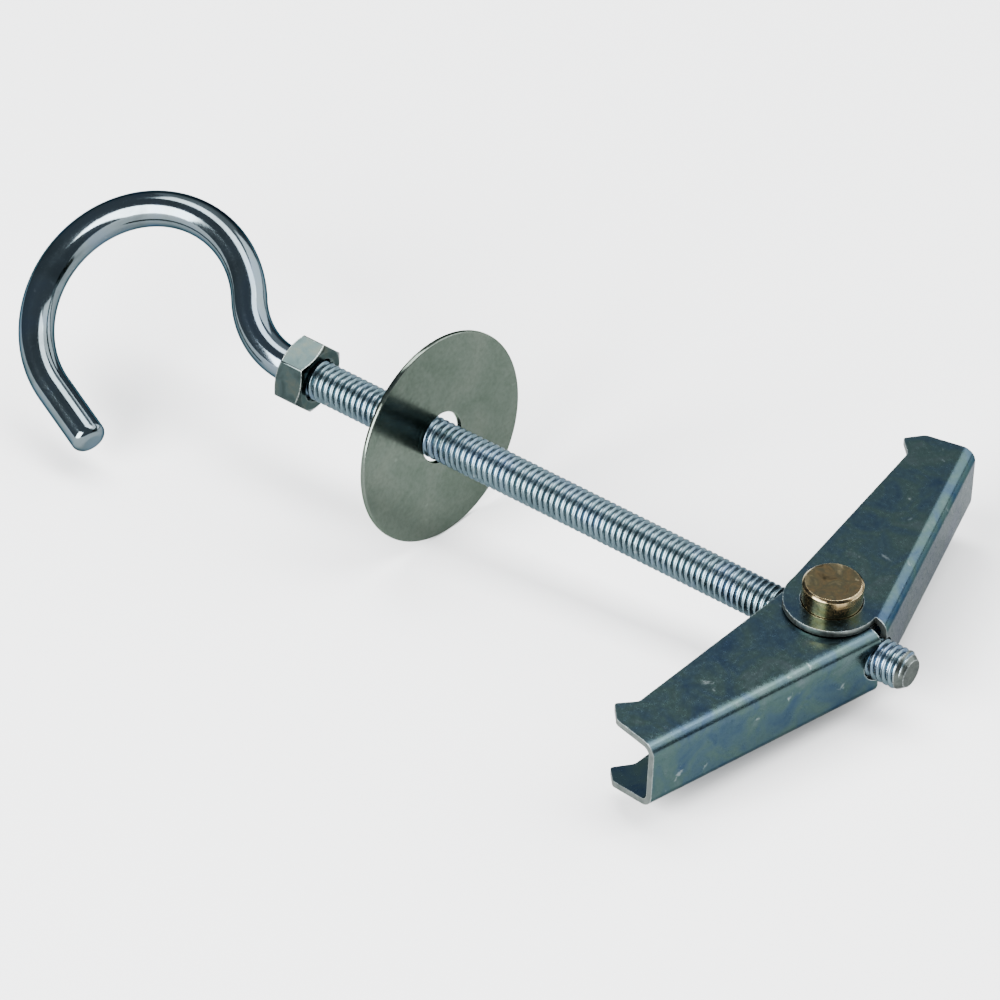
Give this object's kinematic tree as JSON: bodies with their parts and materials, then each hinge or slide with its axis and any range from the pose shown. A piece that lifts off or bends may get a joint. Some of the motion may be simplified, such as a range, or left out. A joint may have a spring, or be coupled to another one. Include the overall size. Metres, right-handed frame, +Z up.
{
  "type": "spring toggle hook",
  "caption": "Spring toggle hook for hollow ceilings: bent hook bolt with lock nut, ceiling washer and spring-opened folding wings on a barrel nut, zinc plated",
  "frame": {"origin": "on the floor, under the middle of the assembly as it lies at rest", "axes": "+X runs from the hook to the toggle in plan, +Y along the first wing, +Z up"},
  "size_m": [0.1248, 0.0652, 0.0264],
  "materials": {
    "blue_zinc_plate": "bright zinc plate with a blue cast on steel wire",
    "satin_zinc_plate": "satin zinc plate on stamped sheet",
    "wing_zinc_plate": "bright zinc plate with a dark blue and green cast on folded sheet",
    "yellow_zinc_plate": "yellow passivated zinc on turned steel",
    "spring_steel": "plain drawn spring wire"
  },
  "bodies": {
    "bolt": {"hook_bolt": "blue_zinc_plate"},
    "nut": {"hex_nut": "blue_zinc_plate"},
    "washer": {"ceiling_washer": "satin_zinc_plate"},
    "toggle": {"barrel_nut": "yellow_zinc_plate", "torsion_spring": "spring_steel"},
    "wing_a_body": {"wing_a": "wing_zinc_plate"},
    "wing_b_body": {"wing_b": "wing_zinc_plate"}
  },
  "joints": [
    {"name": "nut_travel", "type": "slide", "parent": "bolt", "child": "nut", "axis": [-0.9963, 0, 0.0857], "range_m": [-0.015, 0]},
    {"name": "washer_slide", "type": "slide", "parent": "bolt", "child": "washer", "axis": [-0.9963, 0, 0.0857], "range_m": [-0.026, 0.015]},
    {"name": "toggle_travel", "type": "slide", "parent": "bolt", "child": "toggle", "axis": [-0.9963, 0, 0.0857], "range_m": [-0.007, 0.044]},
    {"name": "wing_a_fold", "type": "hinge", "parent": "toggle", "child": "wing_a_body", "pos_m": [0.051, 0, 0.00795], "axis": [-0.0857, -0.0042, -0.9963], "range_deg": [-78, 0], "stiffness_Nm_per_rad": 0.01, "springref_deg": 28.65, "deforming": ["torsion_spring"]},
    {"name": "wing_b_fold", "type": "hinge", "parent": "toggle", "child": "wing_b_body", "pos_m": [0.051, 0, 0.00795], "axis": [0.0857, 0.0042, 0.9963], "range_deg": [-78, 0], "stiffness_Nm_per_rad": 0.01, "springref_deg": 28.65, "deforming": ["torsion_spring"]}
  ]
}
